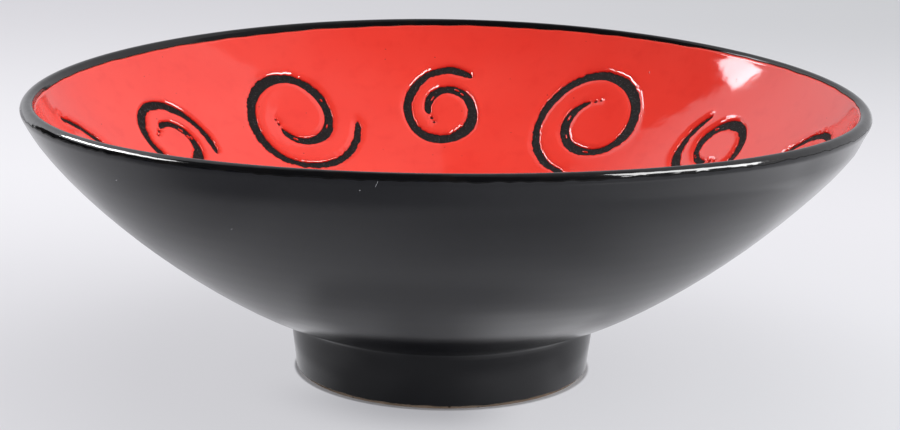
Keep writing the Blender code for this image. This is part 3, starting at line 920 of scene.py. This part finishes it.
def table_finish():
    """Matt pale paper. Seen or mirrored, it keeps part of the shadow and shows its own tone besides.

    The tone is painted light and shade over the paper, worked out from left to right, and from the front
    over the middle to the back, with a painted shadow in front of the foot. What the glaze mirrors of it is
    dimmer or brighter in patches of painted shade and painted light. Each patch is its strength times ramps
    over the distance from the foot's middle and over the places across and along.
    """
    material, place = new_recipe("pale_table")
    x, y = place.along(0), place.along(1)
    side = x.rise(-0.40, 0.40)
    back = y - 0.06 * x.rise(0.0, -0.15)
    front_tone = mixed(side, FRONT_LEFT, FRONT_RIGHT)
    tone = mixed(back.rise(-0.11, 0.24), front_tone, mixed(side, MIDDLE_LEFT, MIDDLE_RIGHT))
    tone = mixed(back.rise(0.20, 0.80), tone, mixed(side, BACK_LEFT, BACK_RIGHT))
    from_foot = place.node("ShaderNodeVectorMath", {"operation": "LENGTH"}, {0: place}, "Value")
    # Painted shadow: the paper's tone darkens towards FOOT_SHADE in front of the foot, seen and mirrored.
    shade = from_foot.rise(0.082, 0.050) * y.rise(-0.01, -0.045) * x.rise(0.030, 0.0) * x.rise(-0.072, -0.012)
    tone = mixed(shade, tone, FOOT_SHADE)
    seen = place.node("ShaderNodeLightPath", {}, {}, "Is Camera Ray")
    mirrored = place.node("ShaderNodeLightPath", {}, {}, "Is Glossy Ray")
    through = place.node("ShaderNodeLightPath", {}, {}, "Is Transmission Ray")

    # Painted shade in the reflections: dimmer patches in what the high wall mirrors in front on the left,
    # the low wall in its middle, the wall's left end, and the lowest wall just above the foot.
    below_lip = from_foot.rise(0.142, 0.176)
    high_left = 0.62 * below_lip * x.rise(0.06, -0.03) * y.rise(-0.06, -0.12)
    low_middle = 0.30 * from_foot.rise(0.090, 0.112) * from_foot.rise(0.158, 0.135)
    low_middle = low_middle * x.rise(-0.05, 0.01) * x.rise(0.10, 0.055)
    left_end = 0.22 * from_foot.rise(0.105, 0.130) * from_foot.rise(0.195, 0.160) * x.rise(-0.08, -0.11)
    above_foot = 0.46 * from_foot.rise(0.100, 0.082) * x.rise(0.065, 0.015)
    above_foot = above_foot * x.rise(-0.062, -0.045) * y.rise(-0.01, -0.04)
    dim = high_left + low_middle + left_end + above_foot
    tone = mixed(mirrored * dim, tone, MIRRORED_DIM)

    # Painted light in the reflections: brighter patches in what the high wall mirrors on the right, with the
    # pale band under the lip there, and what the foot mirrors ahead of it and at its two sides.
    high_right = 0.25 * below_lip * x.rise(0.08, 0.16)
    pale_band = from_foot.rise(0.173, 0.190) * from_foot.rise(0.225, 0.205)
    pale_band = pale_band * x.rise(0.05, 0.11) * y.rise(0.04, -0.02)
    ahead = 0.08 * x.rise(-0.020, 0.010) + 0.45 * x.rise(0.000, 0.035) + 0.10 * x.rise(-0.010, -0.030)
    ahead = from_foot.rise(0.076, 0.066) * y.rise(-0.020, -0.035) * ahead
    aside = 0.32 * x.rise(0.030, 0.045) + 0.36 * x.rise(-0.030, -0.045)
    aside = from_foot.rise(0.064, 0.056) * y.rise(-0.045, -0.025) * aside
    bright = high_right + pale_band + ahead + aside
    tone = mixed(mirrored * bright, tone, MIRRORED_BRIGHT)

    lit = place.node("ShaderNodeBsdfDiffuse", {}, {"Color": (*TABLE_GREY, 1.0)})
    glow = place.node("ShaderNodeEmission", {}, {"Color": tone, "Strength": 1.0})
    share = place.math("MINIMUM", seen + mirrored + through, 1.0) * PAPER_GLOW
    share = share * (1.0 - UNDER_FOOT_SHADE * from_foot.rise(*UNDER_FOOT))
    paper = place.node("ShaderNodeMixShader", {}, {0: share, 1: lit, 2: glow})
    place.node("ShaderNodeOutputMaterial", {}, {"Surface": paper})
    return material


corners = np.array([[-1, -1, 0], [1, -1, 0], [1, 1, 0], [-1, 1, 0]]) * TABLE_REACH
sheet = bpy.data.meshes.new("table_sheet")
sheet.from_pydata(corners.tolist(), [], [(0, 1, 2, 3)])
sheet.materials.append(table_finish())
table = bpy.data.objects.new("table_sheet", sheet)
bpy.context.scene.collection.objects.link(table)

studio = bpy.data.worlds.new("pale_studio")
studio.use_nodes = True
studio.node_tree.nodes.clear()
look = Wire(studio.node_tree).node("ShaderNodeTexCoord", {}, {}, "Generated")
bearing = look.math("ARCTAN2", look.along(0), look.along(1))
steepness = look.math("ARCSINE", look.along(2))
right_side = bearing.rise(1.68, 1.60) * steepness.rise(1.06, 1.02)
left_side = (bearing - 0.25 * steepness).rise(-1.345, -1.275) * bearing.rise(0.02, -0.02)
left_side = left_side * steepness.rise(1.25, 0.70)
right_pale = mixed(bearing.rise(0.15, 1.35), BEHIND, RIGHT_PANEL)
left_pale = mixed(bearing.rise(-0.15, -0.90), BEHIND, LEFT_PANEL)
dim = mixed(bearing.rise(2.8, 1.7) * bearing.rise(-0.02, 0.02), DARK_ROOM, DIM_SIDE)
surroundings = mixed(right_side * bearing.rise(-0.02, 0.02), dim, right_pale)
surroundings = mixed(left_side, surroundings, left_pale)
surroundings = mixed(look.node("ShaderNodeLightPath", {}, {}, "Is Camera Ray"), surroundings, BACKDROP)
sky = look.node("ShaderNodeBackground", {}, {"Color": surroundings, "Strength": 1.0})
look.node("ShaderNodeOutputWorld", {}, {"Surface": sky})
bpy.context.scene.world = studio

# Lamps.
# Three large soft lamps light the colours. Two narrow strips near the lip and a window far on the
# left show in the gloss alone, and a black flag under the left strip darkens the lip below its light.
WHITE = (1.0, 1.0, 1.0)
WINDOW_TINT = (1.0, 0.93, 1.0)
FLAG_BLACK = (0.004, 0.004, 0.004)
FLAG_NAP = (0.010, 0.010, 0.010)


def add_lamp(name, place, aim, width, height, radiance, mirrored, tint=WHITE):
    """Rectangular lamp at a place, facing an aim, as bright as its radiance.

    A mirrored lamp shows in the gloss alone. The others light the colours and leave the gloss dark.
    """
    light = bpy.data.lights.new(name, "AREA")
    light.shape = "RECTANGLE"
    light.size = width
    light.size_y = height
    light.energy = radiance * math.pi * width * height
    light.color = tint
    lamp = bpy.data.objects.new(name, light)
    bpy.context.scene.collection.objects.link(lamp)
    back = (Vector(place) - Vector(aim)).normalized()
    across = Vector((0.0, 1.0, 0.0) if abs(back.z) > 0.9 else (0.0, 0.0, 1.0)).cross(back).normalized()
    lamp.matrix_world = Matrix((across, back.cross(across), back)).transposed().to_4x4()
    lamp.location = place
    lamp.visible_camera = False
    lamp.visible_diffuse = not mirrored
    lamp.visible_glossy = mirrored
    return lamp


add_lamp("right_strip", (0.289, -0.126, 0.254), aim=(0.209, 0.059, 0.074),
         width=0.30, height=0.08, radiance=27.0, mirrored=True)
add_lamp("left_strip", (-0.336, 0.055, 0.28), aim=(-0.10, 0.10, 0.095),
         width=0.33, height=0.05, radiance=28.0, mirrored=True)
add_lamp("left_window", (-1.29, 0.62, 1.10), aim=(0.0, 0.0, 0.08),
         width=0.42, height=0.26, radiance=14.5, mirrored=True, tint=WINDOW_TINT)
add_lamp("right_softbox", (1.20, -0.30, 1.10), aim=(0.0, 0.0, 0.05),
         width=1.2, height=1.0, radiance=2.2, mirrored=False)
add_lamp("front_softbox", (-0.20, -1.90, 1.50), aim=(0.0, 0.0, 0.05),
         width=2.2, height=1.5, radiance=2.0, mirrored=False)
add_lamp("top_softbox", (0.0, 0.10, 2.20), aim=(0.0, 0.0, 0.05),
         width=2.0, height=2.0, radiance=2.0, mirrored=False)

flag_corners = [(-0.30, -0.34, 0.075), (-0.30, 0.15, 0.075), (-0.30, 0.15, 0.180), (-0.30, -0.34, 0.180)]
flag_sheet = bpy.data.meshes.new("black_flag")
flag_sheet.from_pydata(flag_corners, [], [(0, 1, 2, 3)])
cloth, cloth_place = new_recipe("black_flag_cloth")
flag_sheet.materials.append(fired(cloth, {
    "Base Color": mixed(cloth_place.grain(300.0), FLAG_BLACK, FLAG_NAP),
    "Roughness": 1.0,
}))
flag = bpy.data.objects.new("black_flag", flag_sheet)
bpy.context.scene.collection.objects.link(flag)
flag.visible_camera = flag.visible_diffuse = flag.visible_shadow = flag.visible_transmission = False

# Camera.
# A long lens a little above the rim, 14 degrees down on the bowl, placed by the bowl's outline.
VIEW_DOWN = math.radians(14.133705)
VIEW_FROM = (0.0, -0.749585, 0.234940)
VIEW_YAW = math.radians(0.161261)
VIEW_PITCH = math.radians(0.450268)
VIEW_ROLL = math.radians(0.818153)
FILM_WIDTH = 36.0
LENS = 91.633

ahead = Vector((0.0, math.cos(VIEW_DOWN), -math.sin(VIEW_DOWN)))
right = Vector((1.0, 0.0, 0.0))
up = right.cross(ahead)
ahead, right = (ahead * math.cos(VIEW_YAW) + right * math.sin(VIEW_YAW),
                right * math.cos(VIEW_YAW) - ahead * math.sin(VIEW_YAW))
ahead, up = (ahead * math.cos(VIEW_PITCH) + up * math.sin(VIEW_PITCH),
             up * math.cos(VIEW_PITCH) - ahead * math.sin(VIEW_PITCH))
right, up = (right * math.cos(VIEW_ROLL) + up * math.sin(VIEW_ROLL),
             up * math.cos(VIEW_ROLL) - right * math.sin(VIEW_ROLL))
eye = bpy.data.cameras.new("studio_camera")
eye.sensor_width = FILM_WIDTH
eye.lens = LENS
eye.clip_start = 0.05
eye.clip_end = 60.0
camera = bpy.data.objects.new("studio_camera", eye)
bpy.context.scene.collection.objects.link(camera)
camera.matrix_world = Matrix((right, up, -ahead)).transposed().to_4x4()
camera.location = VIEW_FROM
bpy.context.scene.camera = camera
bpy.context.scene.view_settings.view_transform = "Standard"
